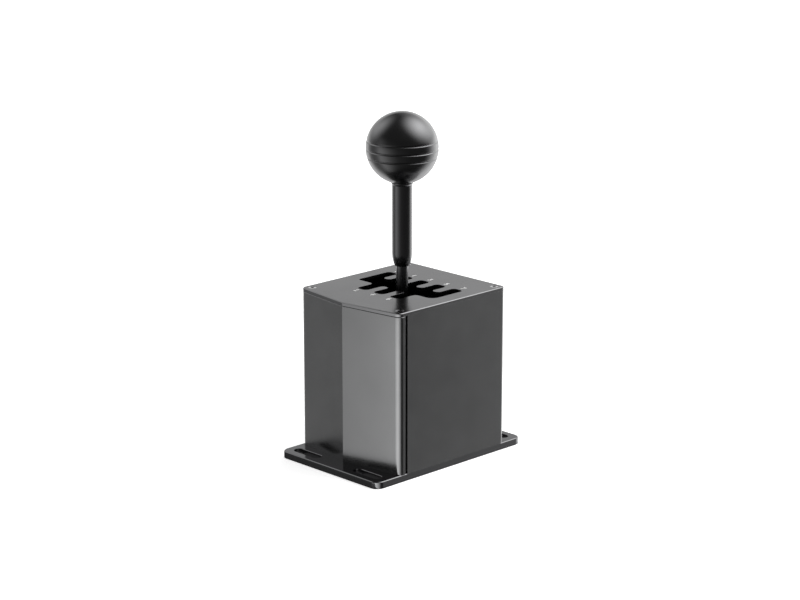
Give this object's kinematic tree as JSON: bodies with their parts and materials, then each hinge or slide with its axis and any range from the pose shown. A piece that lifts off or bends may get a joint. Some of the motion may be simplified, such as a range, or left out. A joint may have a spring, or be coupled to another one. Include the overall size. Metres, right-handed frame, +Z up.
{
  "type": "sim racing gear shifter",
  "caption": "Gear shifter for simulated racing: ball-topped lever in a seven-gear gate with reverse, in a ridged metal housing on a slotted base plate.",
  "frame": {"origin": "on the table under the lever's axis, at the centre of the base plate's underside", "axes": "X across the shifter, Y from the ridged front face to the rear, Z up along the lever"},
  "size_m": [0.097, 0.142, 0.2417],
  "materials": {
    "base_metal": "black anodised aluminium, satin",
    "housing_metal": "dark grey anodised aluminium, fine satin",
    "gate_metal": "dark grey anodised aluminium, satin",
    "screw_steel": "black oxide steel",
    "frame_metal": "machined aluminium",
    "bush_bronze": "turned bronze",
    "spring_steel": "spring steel",
    "pin_steel": "ground steel",
    "socket_steel": "plated steel sheet",
    "circuit_board": "green solder mask",
    "ribbon_plastic": "black flexible film",
    "magnet": "nickel-plated magnet",
    "lever_metal": "black satin metal",
    "knob_plastic": "black satin plastic"
  },
  "bodies": {
    "housing": {"base_plate": "base_metal", "front_cover": "housing_metal", "rear_shell": "housing_metal", "gate_plate": "gate_metal", "gate_screws": "screw_steel", "base_screws": "screw_steel", "front_bracket": "frame_metal", "rear_bracket": "frame_metal", "bracket_bushes": "bush_bronze", "spring_seats": "frame_metal", "left_centring_spring": "spring_steel", "right_centring_spring": "spring_steel", "lane_sensor_board": "circuit_board", "main_board": "circuit_board", "board_spacers": "bush_bronze", "board_screws": "screw_steel", "data_socket": "socket_steel", "sensor_ribbon": "ribbon_plastic"},
    "rocker": {"rocker_frame": "frame_metal", "rocker_pins": "pin_steel", "cross_bushes": "bush_bronze", "detent_cradle": "pin_steel", "cradle_screws": "screw_steel", "shift_sensor_board": "circuit_board", "lane_magnet": "magnet"},
    "lever": {"lever_hub": "frame_metal", "cross_pin": "pin_steel", "hub_set_screw": "screw_steel", "shift_magnet": "magnet", "lever_rod": "lever_metal", "rod_nut": "screw_steel", "detent_tube": "pin_steel", "detent_spring": "spring_steel", "detent_ball": "pin_steel", "lever_sleeve": "lever_metal", "knob_collar": "lever_metal", "knob_insert": "bush_bronze", "knob": "knob_plastic"}
  },
  "joints": [
    {"name": "lane_select", "type": "hinge", "parent": "housing", "child": "rocker", "pos_m": [0, 0, 0.0365], "axis": [0, 1, 0], "range_deg": [-11.2, 11.2], "stiffness_Nm_per_rad": 6, "deforming": ["left_centring_spring", "right_centring_spring"]},
    {"name": "gear_shift", "type": "hinge", "parent": "rocker", "child": "lever", "pos_m": [0, 0, 0.0365], "axis": [1, 0, 0], "range_deg": [-11, 11]}
  ]
}
